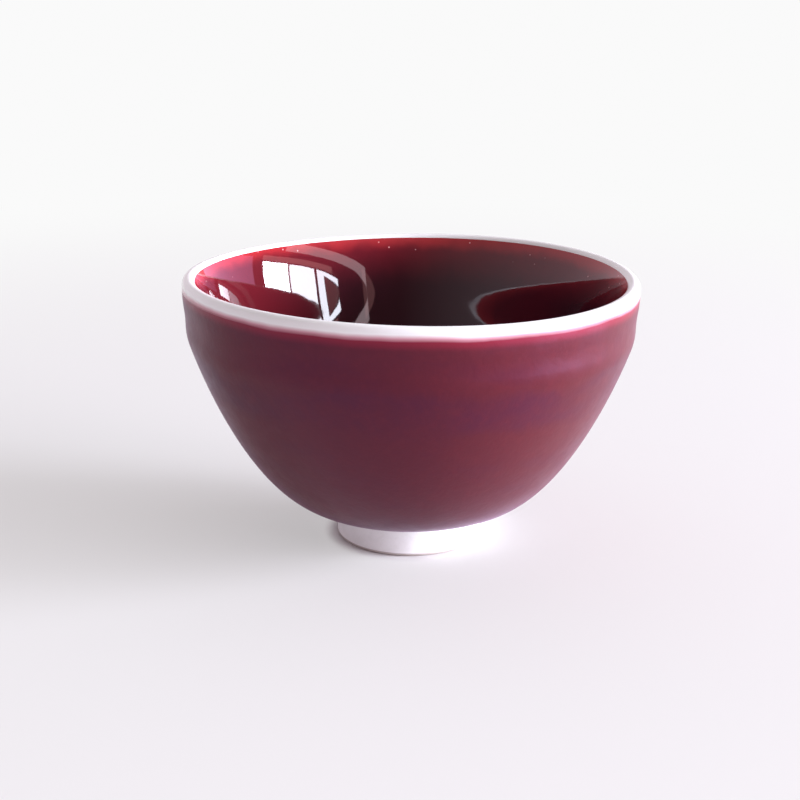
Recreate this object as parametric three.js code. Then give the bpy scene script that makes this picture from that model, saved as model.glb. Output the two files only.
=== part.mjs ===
// A small porcelain sake cup: a thin-walled bowl on a turned foot ring. The clay body, bowl and
// foot ring together, was turned from one lump. Four glaze coats are fused onto it: copper red
// outside, copper red inside, clear white over the lip, and clear in the well under the foot.
// Millimetres, +Z up, origin on the table at the middle of the foot ring.
import * as THREE from "three";

// Overall sizes, over the glaze.
const RIM_DIAMETER = 68;
const HEIGHT = 41.4;

// Foot ring, in bare clay.
const FOOT_DIAMETER = 22.2; // at the table
const FOOT_FLARE = 0.3; // how much wider the ring's radius is where it meets the bowl
const FOOT_HEIGHT = 6; // table to the underside of the bowl
const FOOT_RING_WIDTH = 2.3;
const FOOT_BEVEL = 0.35; // on both edges of the face that meets the table
const FOOT_FILLET = 0.9; // between the ring and the bowl
const WELL_DEPTH = 5; // table to the clay ceiling inside the ring
const WELL_FILLET = 1.2;

// Bowl, over the glaze.
const LIP_THICKNESS = 2;
const LIP_OPENING = 0.5; // how far the inside still opens per millimetre as it reaches the lip
const LIP_PULL = 6.1; // pull of that opening, down from the lip
const BELLY_WALL = 2.4; // wall thickness half way up the belly
const BELLY_PULL = 9.4; // pull of the inside's slope there, up towards the lip
const FOOT_WALL = 3.2; // wall thickness where the bowl leaves the foot
const FLOOR_DISH = 0.3; // how far the middle of the floor lies below its edge
const SHOULDER_INSET = 0.35; // from the lip's outside in to the soft shoulder
const SHOULDER_DROP = 8.5; // crest of the lip down to the soft shoulder
const SHOULDER_BEND = 2.6; // height over which the wall turns upright
const SHOULDER_LEAN = 0.33; // how far the belly still opens per millimetre as it reaches it
const BELLY_REACH = 8.5; // pull of the belly's level start, out from the foot
const BELLY_LIFT = 10.7; // pull of its leaning end, down from the shoulder

// Glaze.
const RED_GLAZE = 0.45; // also the clear coat's thickness on the lip, which meets the red flush
const WELL_GLAZE = 0.3;
const GLAZE_ROLL = 0.7; // length over which a coat swells from its free edge
const FOOT_MARGIN = 0.5; // bare clay between the foot's fillet and the outer coat
const WELL_MARGIN = 1; // bare clay between the table and the well's coat
const LIP_BAND = 1.8; // white band outside, from the crest down; inside it ends with the curve

// Facets.
const SIDES = 48;
const BELLY_STEPS = 10;
const BELLY_WALL_STEP = 6; // the step of the belly at which its wall thickness is given
const WALL_STEPS = 7; // down the inside from the lip to there
const FLOOR_STEPS = 3;
const SMALL_STEPS = 2;
const FILLET_STEPS = 3;
const CREST_STEPS = 3; // up the outer half of the lip

const at = (r, z) => new THREE.Vector2(r, z);
const line = (a, b) => new THREE.LineCurve(a, b);
const quarter = (a, corner, b) => new THREE.QuadraticBezierCurve(a, corner, b);

// The whole outline is walked once with the clay on the left: out from the axis across the
// foot's well, round the ring, up the outside, over the lip and down the inside to the axis.
// A station is a point of that walk with its unit normal, which points out of the clay.
function stations(curve, steps) {
  return Array.from({ length: steps + 1 }, (_, i) => {
    const along = curve.getTangent(i / steps);
    return { spot: curve.getPoint(i / steps), out: at(along.y, -along.x) };
  });
}

// Stretches laid end to end, with each shared station kept once.
function joined(...stretches) {
  return stretches.flatMap((stretch, i) => (i === 0 ? stretch : stretch.slice(1)));
}

// Stations moved along their normals by a distance that may change from one to the next.
function moved(stretch, distance) {
  return stretch.map(({ spot, out }, i) => ({
    spot: spot.clone().addScaledVector(out, distance(i)),
    out,
  }));
}

// Foot ring and the level underside of the bowl, in bare clay.
function footStretches() {
  const footR = FOOT_DIAMETER / 2;
  const rootR = footR + FOOT_FLARE;
  const wellR = footR - FOOT_RING_WIDTH;
  const filletEnd = at(rootR + FOOT_FILLET, FOOT_HEIGHT);
  const coatStart = at(filletEnd.x + FOOT_MARGIN, FOOT_HEIGHT);
  const ceilingEnd = at(wellR - WELL_FILLET, WELL_DEPTH);
  const wallTop = at(wellR, WELL_DEPTH - WELL_FILLET);
  const coatFull = at(wellR, WELL_MARGIN + GLAZE_ROLL);
  const coatEnd = at(wellR, WELL_MARGIN);
  return {
    well: joined(
      stations(line(at(0, WELL_DEPTH), ceilingEnd), 1),
      stations(quarter(ceilingEnd, at(wellR, WELL_DEPTH), wallTop), FILLET_STEPS),
      stations(line(wallTop, coatFull), 1),
      stations(line(coatFull, coatEnd), SMALL_STEPS),
    ),
    ring: [
      at(wellR, FOOT_BEVEL),
      at(wellR + FOOT_BEVEL, 0),
      at(footR - FOOT_BEVEL, 0),
      at(footR, FOOT_BEVEL),
      ...quarter(
        at(rootR, FOOT_HEIGHT - FOOT_FILLET), at(rootR, FOOT_HEIGHT), filletEnd,
      ).getPoints(FILLET_STEPS),
    ],
    coatStart,
  };
}

// Outside of the bowl over the glaze, from the coat's free edge up to the white band.
function outsideStretch(coatStart) {
  const shoulder = at(RIM_DIAMETER / 2 - SHOULDER_INSET, HEIGHT - SHOULDER_DROP);
  const underside = FOOT_HEIGHT - RED_GLAZE;
  const edge = at(coatStart.x, underside);
  const full = at(coatStart.x + GLAZE_ROLL, underside);
  const bendStart = at(
    shoulder.x - (SHOULDER_LEAN * SHOULDER_BEND) / 2,
    shoulder.y - SHOULDER_BEND / 2,
  );
  const bendEnd = at(shoulder.x, shoulder.y + SHOULDER_BEND / 2);
  const bandEdge = at(RIM_DIAMETER / 2, HEIGHT - LIP_BAND);
  const halfway = (bendEnd.y + bandEdge.y) / 2;
  return joined(
    stations(line(edge, full), SMALL_STEPS),
    stations(
      new THREE.CubicBezierCurve(
        full,
        at(full.x + BELLY_REACH, underside),
        at(bendStart.x - SHOULDER_LEAN * BELLY_LIFT, bendStart.y - BELLY_LIFT),
        bendStart,
      ),
      BELLY_STEPS,
    ),
    stations(quarter(bendStart, shoulder, bendEnd), SMALL_STEPS),
    stations(
      new THREE.CubicBezierCurve(
        bendEnd, at(bendEnd.x, halfway), at(bandEdge.x, halfway), bandEdge,
      ),
      SMALL_STEPS,
    ),
  );
}

// The white band over the glaze: a short upright, and the round crest to where the inside starts.
function bandStretch() {
  const radius = LIP_THICKNESS / 2;
  const centre = at(RIM_DIAMETER / 2 - radius, HEIGHT - radius);
  const end = Math.PI - Math.atan(LIP_OPENING);
  const arc = (from, to) =>
    new THREE.EllipseCurve(centre.x, centre.y, radius, radius, from, to, false, 0);
  return joined(
    stations(line(at(RIM_DIAMETER / 2, HEIGHT - LIP_BAND), at(RIM_DIAMETER / 2, centre.y)), 1),
    stations(arc(0, Math.PI / 2), CREST_STEPS),
    stations(arc(Math.PI / 2, end), SMALL_STEPS),
  );
}

// Inside of the bowl over the glaze, from the lip down. It falls in one smooth sweep to half way
// down the belly, follows the belly from there at a steadily growing wall thickness, and ends in
// a dished floor.
function insideStretch(outside, lipEnd) {
  const belly = outside.slice(SMALL_STEPS, SMALL_STEPS + BELLY_WALL_STEP + 1);
  const lower = moved(belly, (i) =>
    -THREE.MathUtils.lerp(FOOT_WALL, BELLY_WALL, i / BELLY_WALL_STEP),
  ).map(({ spot, out }) => ({ spot, out: out.clone().negate() })).reverse();
  const { spot: join, out: inward } = lower[0];
  const sweep = new THREE.CubicBezierCurve(
    lipEnd.spot,
    at(-lipEnd.out.y, lipEnd.out.x).multiplyScalar(LIP_PULL).add(lipEnd.spot),
    at(inward.y, -inward.x).multiplyScalar(BELLY_PULL).add(join),
    join,
  );
  const floorEdge = lower[lower.length - 1].spot;
  const middle = at(0, floorEdge.y - FLOOR_DISH);
  const floor = new THREE.CubicBezierCurve(
    floorEdge,
    at((floorEdge.x * 2) / 3, floorEdge.y),
    at(floorEdge.x / 3, middle.y),
    middle,
  );
  return joined(stations(sweep, WALL_STEPS), lower, stations(floor, FLOOR_STEPS));
}

// How full a coat is at each station: it rises as a quarter circle over the roll at a free edge.
function swelling(stretch, edge) {
  return stretch.map(({ spot }) => {
    const left = 1 - Math.min(spot.distanceTo(edge.spot) / GLAZE_ROLL, 1);
    return Math.sqrt(1 - left * left);
  });
}

const spots = (stretch) => stretch.map(({ spot }) => spot);

function solid(name, outline, material) {
  const geometry = new THREE.LatheGeometry(outline, SIDES).rotateX(Math.PI / 2);
  const mesh = new THREE.Mesh(geometry, material);
  mesh.name = name;
  return mesh;
}

// A coat lies between its bed on the clay and its own surface. Its outline runs along the
// surface and back along the bed, and starts on the axis if the coat reaches it.
function coat(name, bed, thickness, material) {
  const surface = moved(bed, (i) => thickness[i]).filter((_, i) => thickness[i] > 0);
  const over = spots(surface);
  const under = spots(bed).reverse();
  if (under[0].x === 0) return solid(name, [...under, ...over], material);
  if (over[0].x === 0) return solid(name, [...over, ...under], material);
  return solid(name, [...over, ...under, over[0]], material);
}

const finish = (color, roughness) =>
  new THREE.MeshStandardMaterial({ color, roughness, metalness: 0 });
const barePorcelain = finish(0xf0edea, 0.55);
const satinRed = finish(0x74283a, 0.32);
const glossRed = finish(0x5c101c, 0.05);
const clearGlaze = finish(0xf4f3f1, 0.12);

const foot = footStretches();
const outside = outsideStretch(foot.coatStart);
const band = bandStretch();
const inside = insideStretch(outside, band[band.length - 1]);
const bed = moved(joined(outside, band, inside), () => -RED_GLAZE);
const bandStart = outside.length - 1;
const bandEnd = bandStart + band.length - 1;
const outerBed = bed.slice(0, bandStart + 1);
const lipBed = bed.slice(bandStart, bandEnd + 1);
const innerBed = bed.slice(bandEnd);
const even = (stretch) => stretch.map(() => RED_GLAZE);
const rising = swelling(outerBed, outerBed[0]).map((share) => share * RED_GLAZE);
const wellEdge = foot.well[foot.well.length - 1];
const wellFalling = swelling(foot.well, wellEdge).map((share) => share * WELL_GLAZE);

const cup = new THREE.Group();
cup.add(
  solid("porcelain_body", [...spots(foot.well), ...foot.ring, ...spots(bed)], barePorcelain),
  coat("outer_glaze", outerBed, rising, satinRed),
  coat("rim_glaze", lipBed, even(lipBed), clearGlaze),
  coat("inner_glaze", innerBed, even(innerBed), glossRed),
  coat("foot_well_glaze", foot.well, wellFalling, clearGlaze),
);

export default cup;
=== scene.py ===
from collections import namedtuple
from math import atan, cos, pi, radians, sin

import bpy
import numpy as np
from bpy.props import FloatProperty, FloatVectorProperty, PointerProperty
from mathutils import Matrix, Vector


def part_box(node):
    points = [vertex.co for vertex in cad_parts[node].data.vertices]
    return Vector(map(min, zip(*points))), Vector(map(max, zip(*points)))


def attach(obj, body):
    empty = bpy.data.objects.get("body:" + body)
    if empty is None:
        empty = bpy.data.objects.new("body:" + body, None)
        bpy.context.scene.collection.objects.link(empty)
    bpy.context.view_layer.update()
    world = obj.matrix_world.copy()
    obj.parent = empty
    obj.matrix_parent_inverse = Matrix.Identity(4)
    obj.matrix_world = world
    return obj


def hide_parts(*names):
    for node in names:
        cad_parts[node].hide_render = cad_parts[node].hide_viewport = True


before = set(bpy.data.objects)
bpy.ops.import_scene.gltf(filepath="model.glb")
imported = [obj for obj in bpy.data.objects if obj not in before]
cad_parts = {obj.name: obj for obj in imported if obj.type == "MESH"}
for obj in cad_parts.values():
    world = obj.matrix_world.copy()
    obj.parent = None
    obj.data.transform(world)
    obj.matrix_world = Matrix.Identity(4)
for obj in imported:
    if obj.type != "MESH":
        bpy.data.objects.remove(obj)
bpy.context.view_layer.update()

bl_info = {
    "name": "Copper-Red Sake Cup",
    "version": (1, 0, 0),
    "blender": (4, 5, 0),
    "location": "3D Viewport > Sidebar > Sake Cup",
    "description": "Builds a porcelain sake cup with copper-red glazes on a turned foot ring",
    "category": "Add Mesh",
}

MM = 0.001
RIM_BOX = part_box("rim_glaze")

# Mesh
AROUND = 256        # facets round the axis
CURVE_STEPS = 50    # rows along the belly and along the inner sweep
BEND_STEPS = 12     # rows along each short curve
FINE_STEPS = 8      # rows over a glaze edge
CREASE = radians(35)    # a sharper turn than this between two rows is an edge
TOUCHING = 1e-9     # points closer than this, in metres, are one

# Shape
WALL_JOIN = 0.6     # how far up the belly's curve the inner sweep joins it
LEAN_EASE = 2 * MM  # depth over which the inside's lean sets in
WOBBLE = 0.0008     # share of the radius in the first of the wall's slow waves
# Each wave: its size, how many there are round the axis, phase, and turn for each metre of height
WAVES = ((1, 2, 0.7, 20), (0.5, 3, 2.1, -45), (0.25, 5, 4.0, 90))

# Soft clouds in a glaze: their width, how many times as flat they are, the noise at which their
# share is 0 and 1, and how much finer noise is in them
Cloud = namedtuple("Cloud", "width flatness low high detail", defaults=(1.0, 0.35, 0.65, 3.0))
CLOUD_ROUGHNESS = 0.6   # how strong each finer noise is beside the last
GLASS_IOR = 1.5         # of glaze and fired clay

# Satin glaze
PLUM_TOP = (9.5 * MM, 7 * MM)       # down from the white band: the plum band is full, and ends
PLUM_BOTTOM = (15 * MM, 12 * MM)    # and here it starts, and is full
FOOT_PLUM_PAINTED_VEIL = (6 * MM, 11 * MM)       # up from the table: the plum near the foot, a painted reflection of the violet veil seen there at a slant, is full, and ends
PLUM_DRIFT, PLUM_WAVER = 2.5 * MM, Cloud(14 * MM, low=0.25, high=0.75, detail=2.0)
POOLS = Cloud(20 * MM, 2.0, 0.25, 0.6)      # where the band is thick enough to be plum
STREAKS, STREAK_SHARE = Cloud(12 * MM, 4.0, 0.45, 0.75), 0.35   # fainter plum over all the wall
# The real mottling is a few tenths of a millimetre wide, too fine to show: it is drawn 1.4 mm wide.
MOTTLE, MOTTLE_SHARE = Cloud(1.4 * MM, low=0.4, high=0.8), 0.3
THIN_LINE = (1.8 * MM, 0.4 * MM)    # down from the white band: it starts to run thin, and is thin
SATIN_ROUGHNESS, SATIN_PATCHES = (0.33, 0.39), Cloud(3 * MM)
VEIL_WEIGHT, VEIL_ROUGHNESS = 0.2, 0.3      # the milky sheen where the wall turns away
# The crystals are hundredths of a millimetre wide, too fine to show: they are drawn 0.9 mm wide.
CRYSTALS, CRYSTAL_HEIGHT = Cloud(0.9 * MM, detail=2.0), 0.005 * MM

# Gloss glaze
INNER_DRIFT, INNER_WAVER = 0.8 * MM, Cloud(5 * MM, low=0.25, high=0.75, detail=2.0)
SHALLOW = (9 * MM, 2 * MM)          # down from the crest: deep below here, and red above here
THIN_TOP = (3.2 * MM, 0.6 * MM)     # it starts to run thin, and is thin
PAINTED_LIGHT_SIDE = (-8 * MM, -26 * MM)     # along X: the painted light on the inside's -X wall, where the window's light falls, starts, and is full
PINHOLE_SPACING = 1.6 * MM
PINHOLE_SIZE = (0.10, 0.05)         # edge and core from a pinhole's middle, in spacings
PINHOLE_LEVELS = (4 * MM, 3 * MM)   # down from the crest: none below here, and all above here
GLOSS_ROUGHNESS = 0.03
RIPPLE, RIPPLE_HEIGHT = Cloud(6 * MM, detail=1.0), 0.004 * MM   # what the glass kept of its flow

# White band, clear glaze and bare clay
EDGE_DRIFT, EDGE_WAVER = 0.2 * MM, Cloud(9 * MM, low=0.25, high=0.75, detail=2.0)
EDGE_SLANT = 0.008      # fall of the copper red's upper edge towards +X
BLUSH_LIFT = 0.05 * MM  # middle of the blush, up from the white band's lower edge
BLUSH_REACH = 0.5 * MM  # how far it reaches up and down from there
CLEAR_ROUGHNESS = 0.1
GREY_CLOUDS, GREY_SHARE = Cloud(4 * MM), 0.3    # where the clay shows through the clear glaze
BARE_ROUGHNESS = 0.55
# The clay's grain and tooth are hundredths of a millimetre wide, too fine to show: they are drawn
# 1.5 and 0.4 mm wide.
GRAIN = Cloud(1.5 * MM, low=0.4, high=0.8)
TOOTH, TOOTH_HEIGHT = Cloud(0.4 * MM), 0.002 * MM
PAINTED_CONTACT_SHADE = (0.55 * MM, 0.35 * MM)  # up from the table: the painted contact shade on the ring's lower edge ends, and is full

# Floor, in metres from the axis
FLOOR_REACH = 3.0
FLOOR_NEAR, FLOOR_FAR = 0.06, 0.34  # from here the floor starts to fade, and here it is white
FLOOR_LIFT = 0.4        # how far the floor near the cup is lifted to white for the camera
CONTACT_REACH = 2.5 * MM    # from the foot ring to where the floor is lifted that far

# Camera, fitted to the rim's ellipses, the outline and the foot
CAMERA_PLACE = (0, -205.25 * MM, 84.03 * MM)
CAMERA_PITCH, CAMERA_YAW, CAMERA_ROLL = 0.29687, -0.00725, -0.00828     # down, to the right, over
CAMERA_LENS, CAMERA_SENSOR = 62.81, 36      # in millimetres
CAMERA_CLIP = 5 * MM

# Light
WINDOW_FACING = radians(6)      # towards the window, from +X towards +Y
WINDOW_DISTANCE = 1.2
# Left, right, lower and upper edge of each lamp in the window's wall, in metres
PANES = ((-0.340, 0.055, 0.0, 0.470), (-0.825, -0.367, 0.0, 0.470),
         (-1.030, -0.875, 0.0, 0.470), (-1.400, -1.030, 0.425, 0.470))
PANE_SHARES = (1, 0.36, 0.33, 0.33)     # how bright each pane is
PELMET = (-1.250, 0.060, 0.490, 0.585)
CEILING = (-2.900, -0.280, 0.720, 1.000)
JAMB = (-1.620, -1.040, 0.0, 0.415)
DOOR = (-4.400, -2.600, 0.0, 0.900)
CURTAIN = (0.230, 2.000, 0.0, 0.560)
# The side where the room is brightest low down and above, with the cosines of the angle to it
# at which the light is least and most
LOW_LIGHT = ((-0.87, 0.5, 0), -0.6, 1)
HIGH_LIGHT = ((0.7, 0.7, 0), -0.7, 0.7)
OVERHEAD = (0.45, 0.8)      # sine of the height: the light from above starts here, and is full
WHITE = (1, 1, 1, 1)


def linear(hex_colour):
    """An sRGB hex colour turned into linear red, green and blue, with an alpha of 1."""
    parts = (int(hex_colour[i:i + 2], 16) / 255 for i in (1, 3, 5))
    return (*(p / 12.92 if p <= 0.04045 else ((p + 0.055) / 1.055) ** 2.4 for p in parts), 1)


def size(name, description, default):
    """A length property in metres, in the cup's own frame."""
    return FloatProperty(name=name, description=description, default=default,
                         min=0.0, unit="LENGTH", subtype="DISTANCE", precision=5)


def slope(name, description, default):
    """A slope property: millimetres sideways for each millimetre of height."""
    return FloatProperty(name=name, description=description, default=default, min=0.0)


def light(name, description, default):
    """A radiance property, where 1 is what a white floor in full light sends back."""
    return FloatProperty(name=name, description=description, default=default, min=0.0)


def paint(name, description, default):
    """A colour property, written as an sRGB hex value and kept linear."""
    return FloatVectorProperty(name=name, description=description, default=linear(default),
                               size=4, min=0.0, max=1.0, subtype="COLOR")


class CupShape(bpy.types.PropertyGroup):
    """Sizes of the cup, the same as the frame's, and how far the kiln warped it."""

    rim_radius: size("Rim radius", "Outside of the lip, over the glaze", RIM_BOX[1][0])
    height: size("Height", "Table to the crest of the lip", RIM_BOX[1][2])
    band_height: size("Band height", "Table to the lower edge of the white band", RIM_BOX[0][2])
    lip: size("Lip thickness", "Over the glaze on both sides", 2 * MM)
    lip_opening: slope("Lip opening", "Opening of the inside as it reaches the lip", 0.5)
    lip_pull: size("Lip pull", "Pull of that opening, down from the lip", 6.1 * MM)
    belly_wall: size("Belly wall", "Wall thickness half way up the belly", 2.4 * MM)
    belly_pull: size("Belly pull", "Pull of the inside's slope there, up to the lip", 9.4 * MM)
    foot_wall: size("Foot wall", "Wall thickness where the bowl leaves the foot", 3.2 * MM)
    floor_dish: size("Floor dish", "How far the floor's middle lies below its edge", 0.3 * MM)
    shoulder_inset: size("Shoulder inset", "Lip's outside in to the soft shoulder", 0.35 * MM)
    shoulder_drop: size("Shoulder drop", "Crest down to the soft shoulder", 8.5 * MM)
    shoulder_bend: size("Shoulder bend", "Height of the bend at the shoulder", 2.6 * MM)
    shoulder_lean: slope("Shoulder lean", "Opening of the belly as it reaches the shoulder", 0.33)
    belly_reach: size("Belly reach", "Pull of the belly's level start", 8.5 * MM)
    belly_lift: size("Belly lift", "Pull of the belly's leaning end", 10.7 * MM)
    foot_radius: size("Foot radius", "Foot ring at the table", 11.1 * MM)
    foot_flare: size("Foot flare", "Extra radius of the ring at the bowl", 0.3 * MM)
    foot_height: size("Foot height", "Table to the clay underside of the bowl", 6 * MM)
    ring_width: size("Ring width", "Width of the foot ring", 2.3 * MM)
    foot_bevel: size("Foot bevel", "Rounding of the ring's two lower edges", 0.35 * MM)
    foot_fillet: size("Foot fillet", "Between the ring and the bowl", 0.9 * MM)
    well_depth: size("Well depth", "Table to the ceiling of the foot's well", 5 * MM)
    well_fillet: size("Well fillet", "In the corner of the well", 1.2 * MM)
    glaze: size("Glaze", "Thickness of the bowl's coats", 0.45 * MM)
    well_glaze: size("Well glaze", "Thickness of the well's coat", 0.3 * MM)
    roll: size("Glaze roll", "Length over which a coat swells from its edge", 0.7 * MM)
    foot_margin: size("Foot margin", "Bare clay between the fillet and the coat", 0.5 * MM)
    well_margin: size("Well margin", "Bare clay below the well's coat", 1 * MM)
    warp: size("Warp", "How far the rim sags between its two high sides", 0.5 * MM)
    lean: slope("Lean", "How far the inside leans out of the axis, from the lip down", 0.028)


class CupGlazes(bpy.types.PropertyGroup):
    """Colours of the clay and the glazes."""

    porcelain: paint("Porcelain", "Bare fired clay", "#f4f3f3")
    grain: paint("Grain", "Faint grey specks in the bare clay", "#ecebea")
    # Painted shade: the dark line along the ring's lower edge, where it meets the table.
    painted_contact_shade: paint("Foot line", "Brown edge of the ring, where it stood in the kiln", "#b5a9a5")
    clear: paint("Clear glaze", "Clear glaze over white clay", "#f0efef")
    outer_thin: paint("Outer, thin", "Satin glaze where it thins below the band", "#791d28")
    outer_red: paint("Outer, red", "Satin glaze over most of the wall", "#501718")
    # The plum near the foot is a painted reflection of the violet veil seen there at a slant; the
    # band across the belly is the glaze's own colour.
    outer_plum_and_painted_veil: paint("Outer, plum", "The cooler band across the belly, and near the foot",
                      "#471423")
    outer_ember: paint("Outer, ember", "Warm mottling of the satin glaze", "#601c1d")
    bloom: paint("Bloom", "Violet bloom of the satin glaze's sheen", "#e6a6e6")
    veil: paint("Veil", "Milky veil of the satin glaze, seen at a slant", "#e8c8f0")
    blush: paint("Blush", "Where the copper red thins out to the white band", "#c68e9b")
    inner_thin: paint("Inner, thin", "Gloss glaze just below the lip", "#a4292f")
    inner_red: paint("Inner, red", "Gloss glaze a little lower", "#671924")
    # Painted light: a lighter red on the inside's -X wall, where the window's light falls.
    inner_painted_light: paint("Inner, blood red", "Gloss glaze on the side where it is thinner", "#5e1821")
    inner_deep: paint("Inner, deep", "Gloss glaze down in the bowl", "#3b131e")
    pinhole: paint("Pinhole", "Healed pinholes in the gloss glaze", "#d99a9c")


class CupStudio(bpy.types.PropertyGroup):
    """Colours and strengths of the floor and the light."""

    floor: paint("Floor", "Pale floor", "#dcd9d9")
    daylight: paint("Daylight", "Colour of the light from the window", "#eef2ff")
    lilac: paint("Lilac", "Colour of the panel beside the window", "#ffb9f2")
    rose: paint("Rose", "Colour of the ceiling's light", "#ffe3eb")
    timber: paint("Timber", "Colour of the woodwork round the window", "#ffb3b3")
    dusk: paint("Dusk", "Colour of the low light round the room", "#ffeffa")
    window: light("Window", "Light of the window's brightest pane", 73)
    ceiling: light("Ceiling", "Light of the ceiling above the window", 4)
    pelmet: light("Pelmet", "Light of the lintel right above the window", 2.8)
    woodwork: light("Woodwork", "Light of the woodwork beside the window", 1.3)
    curtain: light("Curtain", "Light of the dimmer panel beside the window", 2.2)
    overhead_near: light("Overhead, near", "Light from above, in front on the left", 0.3)
    overhead_far: light("Overhead, far", "Light from above, behind on the right", 0.88)
    back: light("Back", "Low light from the left and behind the cup", 1.1)
    front: light("Front", "Low light from in front of the cup, where the room is dark", 0.1)
    backdrop: light("Backdrop", "How white the backdrop and the far floor look", 0.955)


# Outline of the cup in the (radius, height) plane

def bezier(*controls):
    """Points of a quadratic or cubic Bezier curve as a function of t from 0 to 1, with the
    derivative: the usual Bernstein sums."""
    p = np.array(controls, float)

    def at(t):
        t = np.asarray(t, float)[:, None]
        u = 1 - t
        if len(p) == 3:
            spot = u * u * p[0] + 2 * u * t * p[1] + t * t * p[2]
            along = 2 * u * (p[1] - p[0]) + 2 * t * (p[2] - p[1])
        else:
            spot = u**3 * p[0] + 3 * u * u * t * p[1] + 3 * u * t * t * p[2] + t**3 * p[3]
            along = 3 * (u * u * (p[1] - p[0]) + 2 * u * t * (p[2] - p[1]) + t * t * (p[3] - p[2]))
        return spot, along

    return at


def straight(a, b):
    """Points from a to b: a + (b - a) t."""
    a, b = np.array(a, float), np.array(b, float)
    return lambda t: (a + np.outer(t, b - a), np.tile(b - a, (len(t), 1)))


def arc(centre, radius, start, end):
    """Points of a circle: centre + radius (cos, sin) of an angle from start to end."""
    def at(t):
        angle = start + (end - start) * np.asarray(t)
        circle = np.stack([np.cos(angle), np.sin(angle)], 1)
        return np.array(centre) + radius * circle, np.stack([-circle[:, 1], circle[:, 0]], 1)

    return at


def walk(*stretches):
    """Lays (curve, steps) stretches end to end. Returns the points and their unit normals on
    the right of the walk, which point out of the clay; a shared point is kept once."""
    spots, normals = [], []
    for i, (curve, steps) in enumerate(stretches):
        spot, along = curve(np.linspace(0, 1, steps + 1))
        along = along / np.linalg.norm(along, axis=1)[:, None]
        keep = slice(0 if i == 0 else 1, None)
        spots.append(spot[keep])
        normals.append(np.stack([along[:, 1], -along[:, 0]], 1)[keep])
    return np.concatenate(spots), np.concatenate(normals)


def foot_outline(s):
    """The foot in bare clay: the well from the axis to the lower edge of its coat, the ring
    from there to the end of the fillet on the bowl, and where the outer coat starts."""
    well_r = s.foot_radius - s.ring_width
    root_r = s.foot_radius + s.foot_flare
    fillet_end = (root_r + s.foot_fillet, s.foot_height)
    ceiling_end = (well_r - s.well_fillet, s.well_depth)
    wall_top = (well_r, s.well_depth - s.well_fillet)
    coat_full, coat_end = (well_r, s.well_margin + s.roll), (well_r, s.well_margin)
    well = walk(
        (straight((0, s.well_depth), ceiling_end), BEND_STEPS),
        (bezier(ceiling_end, (well_r, s.well_depth), wall_top), BEND_STEPS),
        (straight(wall_top, coat_full), FINE_STEPS // 2),
        (straight(coat_full, coat_end), FINE_STEPS),
    )
    ring_top = (root_r, s.foot_height - s.foot_fillet)
    ring = walk(
        (straight(coat_end, (well_r, s.foot_bevel)), FINE_STEPS // 2),
        (bezier((well_r, s.foot_bevel), (well_r, 0), (well_r + s.foot_bevel, 0)), FINE_STEPS),
        (straight((well_r + s.foot_bevel, 0), (s.foot_radius - s.foot_bevel, 0)), FINE_STEPS),
        (bezier((s.foot_radius - s.foot_bevel, 0), (s.foot_radius, 0),
                (s.foot_radius, s.foot_bevel)), FINE_STEPS),
        (straight((s.foot_radius, s.foot_bevel), ring_top), BEND_STEPS),
        (bezier(ring_top, (root_r, s.foot_height), fillet_end), BEND_STEPS),
    )
    return well, ring, fillet_end[0] + s.foot_margin


def outside_outline(s, coat_start):
    """Outside over the glaze: level from the coat's edge, out and up the belly to the soft
    shoulder, then upright to the white band. Also returns the belly's curve."""
    shoulder = (s.rim_radius - s.shoulder_inset, s.height - s.shoulder_drop)
    under = s.foot_height - s.glaze
    edge, full = (coat_start, under), (coat_start + s.roll, under)
    bend_start = (shoulder[0] - s.shoulder_lean * s.shoulder_bend / 2,
                  shoulder[1] - s.shoulder_bend / 2)
    bend_end = (shoulder[0], shoulder[1] + s.shoulder_bend / 2)
    band = (s.rim_radius, s.band_height)
    halfway = (bend_end[1] + band[1]) / 2
    belly = bezier(full, (full[0] + s.belly_reach, under),
                   (bend_start[0] - s.shoulder_lean * s.belly_lift, bend_start[1] - s.belly_lift),
                   bend_start)
    return belly, walk(
        (straight(edge, full), FINE_STEPS),
        (belly, CURVE_STEPS),
        (bezier(bend_start, shoulder, bend_end), BEND_STEPS),
        (bezier(bend_end, (bend_end[0], halfway), (band[0], halfway), band), BEND_STEPS),
    )


def lip_outline(s):
    """The white band over the glaze: a short upright and the round crest."""
    half = s.lip / 2
    centre = (s.rim_radius - half, s.height - half)
    return walk(
        (straight((s.rim_radius, s.band_height), (s.rim_radius, centre[1])), FINE_STEPS // 2),
        (arc(centre, half, 0, pi - atan(s.lip_opening)), 3 * FINE_STEPS),
    )


def inside_outline(s, belly, lip):
    """Inside over the glaze: one sweep from the lip to half way down the belly, then the
    belly's curve moved in by a wall that grows steadily, and a dished floor."""
    start, out = lip[0][-1], lip[1][-1]
    t = np.linspace(WALL_JOIN, 0, CURVE_STEPS)
    spot, along = belly(t)
    along = along / np.linalg.norm(along, axis=1)[:, None]
    out_of_clay = np.stack([-along[:, 1], along[:, 0]], 1)
    wall = s.foot_wall + (s.belly_wall - s.foot_wall) * t / WALL_JOIN
    lower = spot + wall[:, None] * out_of_clay
    join = lower[0]
    sweep = walk((bezier(start, start + s.lip_pull * np.array((-out[1], out[0])),
                         join + s.belly_pull * along[0], join), CURVE_STEPS))
    edge = lower[-1]
    middle = (0, edge[1] - s.floor_dish)
    floor = walk((bezier(edge, (edge[0] * 2 / 3, edge[1]), (edge[0] / 3, middle[1]), middle),
                  BEND_STEPS))
    return (np.concatenate([sweep[0], lower[1:], floor[0][1:]]),
            np.concatenate([sweep[1], out_of_clay[1:], floor[1][1:]]))


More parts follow.
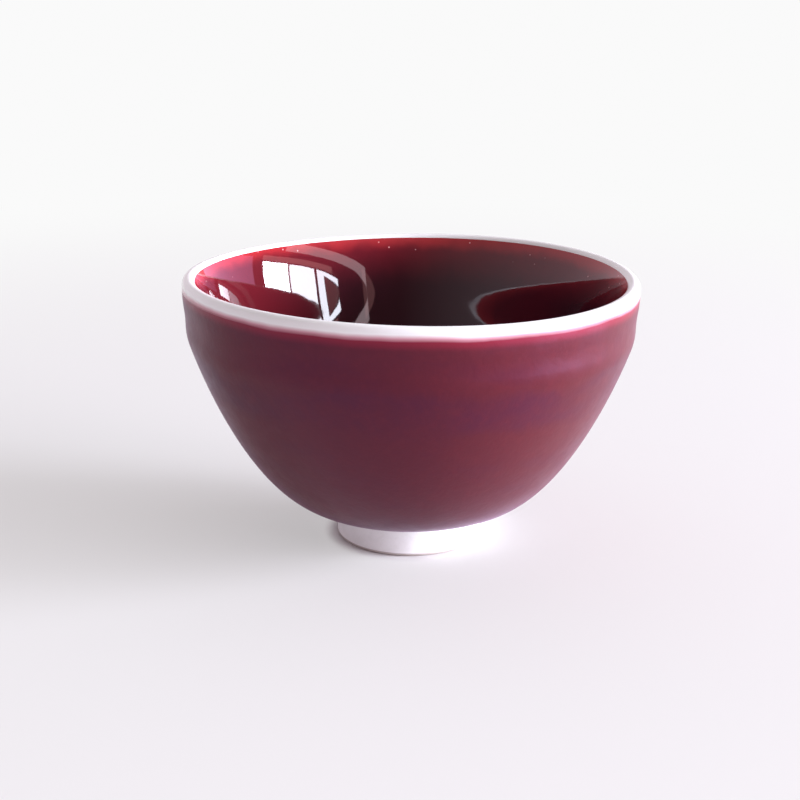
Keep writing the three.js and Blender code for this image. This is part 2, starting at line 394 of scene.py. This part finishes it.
def cup_outline(s):
    """All stretches of the cup's outline, walked once with the clay on the left."""
    well, ring, coat_start = foot_outline(s)
    belly, outside = outside_outline(s, coat_start)
    lip = lip_outline(s)
    return {"well": well, "ring": ring, "outside": outside, "lip": lip,
            "inside": inside_outline(s, belly, lip)}


# Meshes

def fired(x, y, z, s):
    """Where the kiln leaves a point of the turned cup. The wall is drawn in by a few slow waves
    round the axis that drift with height, up to about 0.1 mm. The rim stays high on two
    opposite sides and sags by the warp between them, with the fourth power of the height."""
    angle = np.arctan2(y, x)
    waves = sum(part * np.sin(count * angle + phase + turn * z)
                for part, count, phase, turn in WAVES)
    share = 1 - WOBBLE * (sum(wave[0] for wave in WAVES) - waves)
    sag = s.warp / 2 * (1 - np.sin(2 * angle)) * (z / s.height)**4
    return np.stack([x * share, y * share, z - sag], 1)


def leaned(outline, inside, s):
    """Sideways shift of each row of an outline whose last rows, as many as inside says, lie on
    the bowl's inside: the lean times the depth d below the lip's middle, eased in as
    d^2 / (d + the ease)."""
    depth = np.clip(s.height - s.lip / 2 - outline[:, 1], 0, None)
    shift = s.lean * depth**2 / (depth + LEAN_EASE)
    shift[:len(outline) - inside] = 0
    return shift


def swelling(spots, edge, roll):
    """Share of full thickness: a quarter circle over the roll from a coat's free edge."""
    left = 1 - np.clip(np.linalg.norm(spots - edge, axis=1) / roll, 0, 1)
    return np.sqrt(1 - left**2)


def coat_outline(bed, surface):
    """The outline of a coat between its bed on the clay and its surface. Points where the
    coat has no thickness are kept once. It starts on the axis if the coat reaches it, and is
    laid so that the glaze is on its left."""
    thick = np.linalg.norm(surface - bed, axis=1) > TOUCHING
    over, under = surface[thick], bed[::-1]
    return np.concatenate([under, over] if under[0, 0] == 0 else [over, under])


def revolved(name, outline, s, inside=0):
    """A surface of revolution: (r cos a, r sin a, z) for each point (r, z) of the outline and
    each angle a, then fired, and leaned where it lies inside. The outline has the solid on its
    left. It starts and ends on the axis, where the ring of points is one pole, or closes on
    itself."""
    poles = outline[0, 0] == 0
    angle = np.arange(AROUND) * 2 * pi / AROUND
    shift = leaned(outline, inside, s)
    rings = outline[1:-1] if poles else outline
    r, z = rings[:, :1], rings[:, 1:] + 0 * angle
    grid = fired((r * np.cos(angle)).ravel(), (r * np.sin(angle)).ravel(), z.ravel(), s)
    grid[:, 0] += np.repeat(shift[1:-1] if poles else shift, AROUND)
    index = np.arange(len(grid)).reshape(len(rings), AROUND)
    low = index[:-1] if poles else index
    high = index[1:] if poles else np.roll(index, -1, 0)
    quads = np.stack([low, np.roll(low, -1, 1), np.roll(high, -1, 1), high], 2)
    faces = quads.reshape(-1, 4).tolist()
    if poles:
        bottom, top = len(grid), len(grid) + 1
        grid = np.concatenate([grid, [(shift[0], 0, outline[0, 1]), (shift[-1], 0, outline[-1, 1])]])
        fan = np.stack([index, np.roll(index, -1, 1)], 2)
        faces += [(bottom, b, a) for a, b in fan[0].tolist()]
        faces += [(top, a, b) for a, b in fan[-1].tolist()]
    mesh = bpy.data.meshes.new(name)
    mesh.from_pydata(grid.tolist(), [], faces)
    mesh.shade_smooth()
    mesh.set_sharp_from_angle(angle=CREASE)
    piece = bpy.data.objects.new(name, mesh)
    bpy.context.scene.collection.objects.link(piece)
    return piece


def seat(piece, node, material):
    """Gives a piece its material, hides the CAD node it stands for and attaches it to its body."""
    piece.data.materials.append(material)
    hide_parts(node)
    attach(piece, "root")


# Materials

def new_material(name):
    """A material with an empty node tree, and the tree."""
    material = bpy.data.materials.new(name)
    material.use_nodes = True
    material.node_tree.nodes.clear()
    return material, material.node_tree


def add(tree, kind, inputs=None, out=None, **settings):
    """Adds a node with its settings, and gives its inputs their values or links. Inputs go by
    name, or by number where names repeat, and only those in use count. Returns the output
    named, or else the first in use."""
    node = tree.nodes.new(kind)
    for key, value in settings.items():
        setattr(node, key, value)
    used = [socket for socket in node.inputs if socket.enabled]
    for key, value in (inputs or {}).items():
        socket = used[key] if isinstance(key, int) else next(x for x in used if x.name == key)
        if isinstance(value, bpy.types.NodeSocket):
            tree.links.new(value, socket)
        else:
            socket.default_value = value
    return next((x for x in node.outputs if x.enabled and out in (None, x.name)), None)


def clouds(tree, cloud):
    """Share from 0 to 1 of soft clouds: noise of the cloud's width and flatness, eased from 0 to 1
    between its two limits."""
    spot = add(tree, "ShaderNodeTexCoord", out="Object")
    flat = add(tree, "ShaderNodeMapping", {"Vector": spot, "Scale": (1, 1, cloud.flatness)})
    noise = add(tree, "ShaderNodeTexNoise", {
        "Vector": flat, "Scale": 1 / cloud.width, "Detail": cloud.detail,
        "Roughness": CLOUD_ROUGHNESS})
    return add(tree, "ShaderNodeMapRange", {
        "Value": noise, "From Min": cloud.low, "From Max": cloud.high},
        interpolation_type="SMOOTHSTEP")


def uneven_height(tree, drift, waver, slant=0.0):
    """Height over the table, up or down by at most half the drift in clouds, and up by the slant
    for each metre towards +X."""
    spot = add(tree, "ShaderNodeTexCoord", out="Object")
    z = add(tree, "ShaderNodeVectorMath", {0: spot, 1: (slant, 0, 1)}, out="Value",
            operation="DOT_PRODUCT")
    lift = add(tree, "ShaderNodeMath", {0: clouds(tree, waver), 1: drift, 2: -drift / 2},
               operation="MULTIPLY_ADD")
    return add(tree, "ShaderNodeMath", {0: lift, 1: z}, operation="ADD")


def blushed(tree, s, g, deep):
    """The copper red's upper edge: going up, its deep colour thins to the blush and then to
    clear white, over a level that wavers a little round the cup."""
    edge = uneven_height(tree, EDGE_DRIFT, EDGE_WAVER, EDGE_SLANT)
    middle = s.band_height + BLUSH_LIFT
    body = deep
    for start, colour in ((middle - BLUSH_REACH, g.blush), (middle, g.clear)):
        share = add(tree, "ShaderNodeMapRange", {
            "Value": edge, "From Min": start, "From Max": start + BLUSH_REACH})
        body = add(tree, "ShaderNodeMix", {"Factor": share, "A": body, "B": colour[:]},
                   data_type="RGBA")
    return body


def satin_copper_red_glaze(s, g):
    """Copper-red glaze over porcelain, fired in reduction and cooled slowly, so that fine
    crystals leave it satin. The eye gets a broad soft sheen with a violet bloom, and a milky
    veil where the wall turns away. The red is crimson with faint warm mottling, plum in a cloudy
    band round the wall, where it lies thicker, and plum near the foot, which is a painted
    reflection of the violet veil seen there at a slant. Just below the white band it runs thin in
    a bright line and then out."""
    material, tree = new_material("satin copper-red glaze")
    level = uneven_height(tree, PLUM_DRIFT, PLUM_WAVER)
    over, under = (add(tree, "ShaderNodeMapRange", {
        "Value": level, "From Min": s.band_height - low, "From Max": s.band_height - high},
        interpolation_type="SMOOTHSTEP") for low, high in (PLUM_TOP, PLUM_BOTTOM))
    band = add(tree, "ShaderNodeMath", {0: under, 1: over}, operation="SUBTRACT")
    pooled = add(tree, "ShaderNodeMath", {0: band, 1: clouds(tree, POOLS)}, operation="MULTIPLY")
    streaks = add(tree, "ShaderNodeMath", {0: clouds(tree, STREAKS), 1: STREAK_SHARE},
                  operation="MULTIPLY")
    # foot: plum near the foot, a painted reflection of the violet veil seen there at a slant
    foot = add(tree, "ShaderNodeMapRange", {
        "Value": level, "From Min": FOOT_PLUM_PAINTED_VEIL[1], "From Max": FOOT_PLUM_PAINTED_VEIL[0]},
        interpolation_type="SMOOTHSTEP")
    # plum: the glaze's own band and streaks, and the painted reflection near the foot
    plum = add(tree, "ShaderNodeMath", {0: pooled, 1: streaks}, operation="MAXIMUM")
    plum = add(tree, "ShaderNodeMath", {0: plum, 1: foot}, operation="MAXIMUM")
    mottle = add(tree, "ShaderNodeMath", {0: clouds(tree, MOTTLE), 1: MOTTLE_SHARE},
                 operation="MULTIPLY")
    edge = uneven_height(tree, EDGE_DRIFT, EDGE_WAVER, EDGE_SLANT)
    thin = add(tree, "ShaderNodeMapRange", {
        "Value": edge, "From Min": s.band_height - THIN_LINE[0],
        "From Max": s.band_height - THIN_LINE[1]}, interpolation_type="SMOOTHSTEP")
    body = g.outer_red[:]
    for share, colour in ((plum, g.outer_plum_and_painted_veil), (mottle, g.outer_ember), (thin, g.outer_thin)):
        body = add(tree, "ShaderNodeMix", {"Factor": share, "A": body, "B": colour[:]},
                   data_type="RGBA")
    sheen = add(tree, "ShaderNodeMapRange", {
        "Value": clouds(tree, SATIN_PATCHES), "To Min": SATIN_ROUGHNESS[0],
        "To Max": SATIN_ROUGHNESS[1]})
    relief = add(tree, "ShaderNodeBump", {
        "Height": clouds(tree, CRYSTALS), "Distance": CRYSTAL_HEIGHT})
    shader = add(tree, "ShaderNodeBsdfPrincipled", {
        "Base Color": blushed(tree, s, g, body), "Roughness": sheen, "Normal": relief,
        "IOR": GLASS_IOR, "Specular Tint": g.bloom[:], "Sheen Weight": VEIL_WEIGHT,
        "Sheen Roughness": VEIL_ROUGHNESS, "Sheen Tint": g.veil[:]})
    add(tree, "ShaderNodeOutputMaterial", {"Surface": shader})
    return material


def gloss_copper_red_glaze(s, g):
    """The same copper red cooled quickly to a glass. The eye gets a mirror gloss over a deep
    wine red, brighter where it runs thin below the lip, with a few healed pinholes there. On the
    -X side, where the window's light falls on the inside wall, a lighter red is painted in as light."""
    material, tree = new_material("gloss copper-red glaze")
    level = uneven_height(tree, INNER_DRIFT, INNER_WAVER)
    shallow, thin, pierced = (add(tree, "ShaderNodeMapRange", {
        "Value": level, "From Min": s.height - low, "From Max": s.height - high},
        interpolation_type="SMOOTHSTEP") for low, high in (SHALLOW, THIN_TOP, PINHOLE_LEVELS))
    spot = add(tree, "ShaderNodeTexCoord", out="Object")
    x = add(tree, "ShaderNodeSeparateXYZ", {"Vector": spot}, out="X")
    cells = add(tree, "ShaderNodeTexVoronoi", {"Vector": spot, "Scale": 1 / PINHOLE_SPACING},
                out="Distance")
    # side: painted light on the inside's -X wall, where the window's light falls
    side, dots = (add(tree, "ShaderNodeMapRange", {
        "Value": value, "From Min": start, "From Max": end}, interpolation_type="SMOOTHSTEP")
        for value, (start, end) in ((x, PAINTED_LIGHT_SIDE), (cells, PINHOLE_SIZE)))
    hole = add(tree, "ShaderNodeMath", {0: dots, 1: pierced}, operation="MULTIPLY")
    body = g.inner_deep[:]
    for share, colour in ((shallow, g.inner_red), (side, g.inner_painted_light), (thin, g.inner_thin),
                          (hole, g.pinhole)):
        body = add(tree, "ShaderNodeMix", {"Factor": share, "A": body, "B": colour[:]},
                   data_type="RGBA")
    relief = add(tree, "ShaderNodeBump", {
        "Height": clouds(tree, RIPPLE), "Distance": RIPPLE_HEIGHT})
    shader = add(tree, "ShaderNodeBsdfPrincipled", {
        "Base Color": body, "Roughness": GLOSS_ROUGHNESS, "Normal": relief, "IOR": GLASS_IOR})
    add(tree, "ShaderNodeOutputMaterial", {"Surface": shader})
    return material


def clear_glaze(s, g):
    """Clear glaze over white porcelain, from which the copper red ran off. The eye gets a glossy
    near white, clouded by the clay under it, with a blush of copper towards the lower edge of
    the band. In the foot's well there is no copper."""
    material, tree = new_material("clear glaze on porcelain")
    grey = add(tree, "ShaderNodeMath", {0: clouds(tree, GREY_CLOUDS), 1: GREY_SHARE},
               operation="MULTIPLY")
    level = uneven_height(tree, EDGE_DRIFT, EDGE_WAVER, EDGE_SLANT)
    on_band = add(tree, "ShaderNodeMapRange", {
        "Value": level, "From Min": s.foot_height, "From Max": s.band_height - s.lip},
        interpolation_type="SMOOTHSTEP")
    body = g.clear[:]
    for share, over in ((grey, g.porcelain[:]), (on_band, blushed(tree, s, g, g.outer_thin[:]))):
        body = add(tree, "ShaderNodeMix", {"Factor": share, "A": body, "B": over},
                   data_type="RGBA")
    shader = add(tree, "ShaderNodeBsdfPrincipled", {
        "Base Color": body, "Roughness": CLEAR_ROUGHNESS, "IOR": GLASS_IOR})
    add(tree, "ShaderNodeOutputMaterial", {"Surface": shader})
    return material


def bare_porcelain(g):
    """Fired porcelain wiped clean of glaze. The eye gets a matt white, slightly rough, with a
    grain so faint that it only takes the flatness off. A brownish grey line on the ring's lower
    edge is painted shade, where the ring meets the table."""
    material, tree = new_material("bare porcelain")
    spot = add(tree, "ShaderNodeTexCoord", out="Object")
    z = add(tree, "ShaderNodeSeparateXYZ", {"Vector": spot}, out="Z")
    # line: painted shade along the ring's lower edge, where it meets the table
    line = add(tree, "ShaderNodeMapRange", {
        "Value": z, "From Min": PAINTED_CONTACT_SHADE[0], "From Max": PAINTED_CONTACT_SHADE[1]},
        interpolation_type="SMOOTHSTEP")
    body = g.porcelain[:]
    for share, colour in ((clouds(tree, GRAIN), g.grain), (line, g.painted_contact_shade)):
        body = add(tree, "ShaderNodeMix", {"Factor": share, "A": body, "B": colour[:]},
                   data_type="RGBA")
    relief = add(tree, "ShaderNodeBump", {
        "Height": clouds(tree, TOOTH), "Distance": TOOTH_HEIGHT})
    shader = add(tree, "ShaderNodeBsdfPrincipled", {
        "Base Color": body, "Roughness": BARE_ROUGHNESS, "Normal": relief, "IOR": GLASS_IOR})
    add(tree, "ShaderNodeOutputMaterial", {"Surface": shader})
    return material


def pale_floor(studio, shape):
    """A matt white sheet that takes the cup's shadow. The camera sees it part way to white, as
    an overexposed sheet, but not right beside the foot ring, where the shadow stays dark. Away
    from the cup it fades into the white backdrop, for mirrors too, so that no horizon shows."""
    material, tree = new_material("matt white sheet")
    spot = add(tree, "ShaderNodeTexCoord", out="Object")
    away = add(tree, "ShaderNodeVectorMath", {0: spot}, out="Value", operation="LENGTH")
    far, beside = (add(tree, "ShaderNodeMapRange", {
        "Value": away, "From Min": start, "From Max": end}, interpolation_type="SMOOTHSTEP")
        for start, end in ((FLOOR_NEAR, FLOOR_FAR),
                           (shape.foot_radius, shape.foot_radius + CONTACT_REACH)))
    lift = add(tree, "ShaderNodeMath", {0: beside, 1: FLOOR_LIFT}, operation="MULTIPLY")
    lifted = add(tree, "ShaderNodeMix", {"Factor": far, "A": lift, "B": 1.0})
    camera = add(tree, "ShaderNodeLightPath", out="Is Camera Ray")
    gloss = add(tree, "ShaderNodeLightPath", out="Is Glossy Ray")
    seen = add(tree, "ShaderNodeMath", {0: lifted, 1: camera}, operation="MULTIPLY")
    mirrored = add(tree, "ShaderNodeMath", {0: far, 1: gloss}, operation="MULTIPLY")
    fade = add(tree, "ShaderNodeMath", {0: seen, 1: mirrored}, operation="MAXIMUM")
    sheet = add(tree, "ShaderNodeBsdfDiffuse", {"Color": studio.floor[:]})
    white = add(tree, "ShaderNodeEmission", {"Strength": studio.backdrop})
    surface = add(tree, "ShaderNodeMixShader", {0: fade, 1: sheet, 2: white})
    add(tree, "ShaderNodeOutputMaterial", {"Surface": surface})
    return material


# Operators

class CUP_OT_body(bpy.types.Operator):
    """Build the turned porcelain body with its foot ring."""

    bl_idname = "cup.body"
    bl_label = "Porcelain Body"

    def execute(self, context):
        s, g = context.scene.cup_shape, context.scene.cup_glazes
        o = cup_outline(s)
        clay = [o[key][0] - s.glaze * o[key][1] for key in ("outside", "lip", "inside")]
        outline = np.concatenate([o["well"][0], o["ring"][0][1:], clay[0], clay[1][1:],
                                  clay[2][1:]])
        piece = revolved("turned_porcelain_body", outline, s, len(clay[2]) - 1)
        seat(piece, "porcelain_body", bare_porcelain(g))
        return {"FINISHED"}


class CUP_OT_outer_coat(bpy.types.Operator):
    """Build the satin copper-red coat outside."""

    bl_idname = "cup.outer_coat"
    bl_label = "Outer Copper-Red Coat"

    def execute(self, context):
        s, g = context.scene.cup_shape, context.scene.cup_glazes
        spots, normals = cup_outline(s)["outside"]
        bed = spots - s.glaze * normals
        share = swelling(bed, bed[0], s.roll)
        outline = coat_outline(bed, bed + s.glaze * share[:, None] * normals)
        piece = revolved("outer_copper_red_coat", outline, s)
        seat(piece, "outer_glaze", satin_copper_red_glaze(s, g))
        return {"FINISHED"}


class CUP_OT_inner_coat(bpy.types.Operator):
    """Build the glossy copper-red coat inside."""

    bl_idname = "cup.inner_coat"
    bl_label = "Inner Copper-Red Coat"

    def execute(self, context):
        s, g = context.scene.cup_shape, context.scene.cup_glazes
        spots, normals = cup_outline(s)["inside"]
        outline = coat_outline(spots - s.glaze * normals, spots)
        piece = revolved("inner_copper_red_coat", outline, s, len(outline))
        seat(piece, "inner_glaze", gloss_copper_red_glaze(s, g))
        return {"FINISHED"}


class CUP_OT_clear_coats(bpy.types.Operator):
    """Build the clear coats: over the lip and in the foot's well."""

    bl_idname = "cup.clear_coats"
    bl_label = "Clear Coats"

    def execute(self, context):
        s, g = context.scene.cup_shape, context.scene.cup_glazes
        o = cup_outline(s)
        material = clear_glaze(s, g)
        spots, normals = o["lip"]
        lip = revolved("lip_clear_coat", coat_outline(spots - s.glaze * normals, spots), s)
        seat(lip, "rim_glaze", material)
        bed, normals = o["well"]
        share = swelling(bed, bed[-1], s.roll)
        outline = coat_outline(bed, bed + s.well_glaze * share[:, None] * normals)
        well = revolved("well_clear_coat", outline, s)
        seat(well, "foot_well_glaze", material)
        return {"FINISHED"}


# Stage

def add_camera():
    """A camera at the photograph's height, tilt and distance."""
    ahead = Vector((sin(CAMERA_YAW), cos(CAMERA_YAW), 0))
    side = Vector((cos(CAMERA_YAW), -sin(CAMERA_YAW), 0))
    forward = ahead * cos(CAMERA_PITCH) - Vector((0, 0, sin(CAMERA_PITCH)))
    up = ahead * sin(CAMERA_PITCH) + Vector((0, 0, cos(CAMERA_PITCH)))
    right = side * cos(CAMERA_ROLL) - up * sin(CAMERA_ROLL)
    top = side * sin(CAMERA_ROLL) + up * cos(CAMERA_ROLL)
    camera = bpy.data.objects.new("camera", bpy.data.cameras.new("camera"))
    camera.data.lens, camera.data.sensor_width = CAMERA_LENS, CAMERA_SENSOR
    camera.data.clip_start = CAMERA_CLIP
    camera.matrix_world = Matrix.Translation(CAMERA_PLACE) @ Matrix(
        (right, top, -forward)).transposed().to_4x4()
    bpy.context.scene.collection.objects.link(camera)
    bpy.context.scene.camera = camera


def add_floor(studio, shape):
    """A wide level square at the foot ring's height."""
    mesh = bpy.data.meshes.new("floor")
    corners = ((-1, -1), (1, -1), (1, 1), (-1, 1))
    mesh.from_pydata([(x * FLOOR_REACH, y * FLOOR_REACH, 0) for x, y in corners], [],
                     [(0, 1, 2, 3)])
    mesh.materials.append(pale_floor(studio, shape))
    floor = bpy.data.objects.new("floor", mesh)
    bpy.context.scene.collection.objects.link(floor)


def add_window_light(name, edges, radiance, colour):
    """A soft rectangular lamp in the window's wall, between its left, right, lower and upper
    edges. Its power is its radiance times pi times its area."""
    towards = Vector((cos(WINDOW_FACING), sin(WINDOW_FACING), 0))
    sideways = Vector((-sin(WINDOW_FACING), cos(WINDOW_FACING), 0))
    left, right, low, high = edges
    lamp = bpy.data.lights.new(name, "AREA")
    lamp.shape, lamp.size, lamp.size_y = "RECTANGLE", right - left, high - low
    lamp.energy, lamp.color = radiance * pi * lamp.size * lamp.size_y, colour[:3]
    piece = bpy.data.objects.new(name, lamp)
    piece.location = (towards * WINDOW_DISTANCE + sideways * ((left + right) / 2)
                      + Vector((0, 0, (low + high) / 2)))
    piece.rotation_euler = (-towards).to_track_quat("-Z", "Y").to_euler()
    bpy.context.scene.collection.objects.link(piece)


def facing(tree, direction, side, least, most):
    """Share that rises from 0 to 1 as the cosine of the angle between a direction and a side
    of the room goes from least to most."""
    cosine = add(tree, "ShaderNodeVectorMath", {0: direction, 1: side}, out="Value",
                 operation="DOT_PRODUCT")
    return add(tree, "ShaderNodeMapRange", {"Value": cosine, "From Min": least, "From Max": most})


def add_world(studio):
    """Soft light from the room. Low down it is faintly lilac, dark in front of the cup and
    bright to the left and behind it; above it is white, and brightest behind and to the right.
    The camera itself sees a white backdrop in every direction."""
    world = bpy.data.worlds.new("studio")
    world.use_nodes = True
    bpy.context.scene.world = world
    tree = world.node_tree
    tree.nodes.clear()
    direction = add(tree, "ShaderNodeTexCoord", out="Generated")
    z = add(tree, "ShaderNodeSeparateXYZ", {"Vector": direction}, out="Z")
    low = add(tree, "ShaderNodeMix", {"Factor": facing(tree, direction, *LOW_LIGHT),
                                      "A": studio.front, "B": studio.back})
    high = add(tree, "ShaderNodeMix", {"Factor": facing(tree, direction, *HIGH_LIGHT),
                                       "A": studio.overhead_near, "B": studio.overhead_far})
    above = add(tree, "ShaderNodeMapRange", {
        "Value": z, "From Min": OVERHEAD[0], "From Max": OVERHEAD[1]},
        interpolation_type="SMOOTHSTEP")
    room = add(tree, "ShaderNodeMix", {"Factor": above, "A": low, "B": high})
    camera = add(tree, "ShaderNodeLightPath", out="Is Camera Ray")
    strength = add(tree, "ShaderNodeMix", {"Factor": camera, "A": room, "B": studio.backdrop})
    plain = add(tree, "ShaderNodeMath", {0: above, 1: camera}, operation="MAXIMUM")
    colour = add(tree, "ShaderNodeMix", {"Factor": plain, "A": studio.dusk[:], "B": WHITE},
                 data_type="RGBA")
    surface = add(tree, "ShaderNodeBackground", {"Color": colour, "Strength": strength})
    add(tree, "ShaderNodeOutputWorld", {"Surface": surface})


class CUP_OT_stage(bpy.types.Operator):
    """Set up the pale floor, the soft studio light and the camera."""

    bl_idname = "cup.stage"
    bl_label = "Stage"

    def execute(self, context):
        studio = context.scene.cup_studio
        context.scene.view_settings.view_transform = "Standard"
        add_camera()
        add_floor(studio, context.scene.cup_shape)
        add_world(studio)
        for number, (edges, share) in enumerate(zip(PANES, PANE_SHARES), 1):
            add_window_light(f"window_pane_{number}", edges, studio.window * share,
                             studio.daylight)
        add_window_light("pelmet", PELMET, studio.pelmet, studio.timber)
        add_window_light("ceiling", CEILING, studio.ceiling, studio.rose)
        add_window_light("jamb", JAMB, studio.woodwork, studio.timber)
        add_window_light("door", DOOR, studio.woodwork, studio.timber)
        add_window_light("curtain", CURTAIN, studio.curtain, studio.lilac)
        return {"FINISHED"}


class CUP_PT_panel(bpy.types.Panel):
    """Lists the steps that build the cup."""

    bl_idname = "CUP_PT_panel"
    bl_label = "Sake Cup"
    bl_space_type = "VIEW_3D"
    bl_region_type = "UI"
    bl_category = "Sake Cup"

    def draw(self, context):
        for step in STEPS:
            self.layout.operator(step)


CLASSES = (CupShape, CupGlazes, CupStudio, CUP_OT_body, CUP_OT_outer_coat, CUP_OT_inner_coat,
           CUP_OT_clear_coats, CUP_OT_stage, CUP_PT_panel)
STEPS = ("cup.body", "cup.outer_coat", "cup.inner_coat", "cup.clear_coats", "cup.stage")


def register():
    for cls in CLASSES:
        bpy.utils.register_class(cls)
    bpy.types.Scene.cup_shape = PointerProperty(type=CupShape)
    bpy.types.Scene.cup_glazes = PointerProperty(type=CupGlazes)
    bpy.types.Scene.cup_studio = PointerProperty(type=CupStudio)


def unregister():
    del bpy.types.Scene.cup_studio
    del bpy.types.Scene.cup_glazes
    del bpy.types.Scene.cup_shape
    for cls in reversed(CLASSES):
        bpy.utils.unregister_class(cls)


def main():
    register()
    bpy.ops.cup.body()
    bpy.ops.cup.outer_coat()
    bpy.ops.cup.inner_coat()
    bpy.ops.cup.clear_coats()
    bpy.ops.cup.stage()
    bpy.context.view_layer.update()


if __name__ == "__main__":
    main()
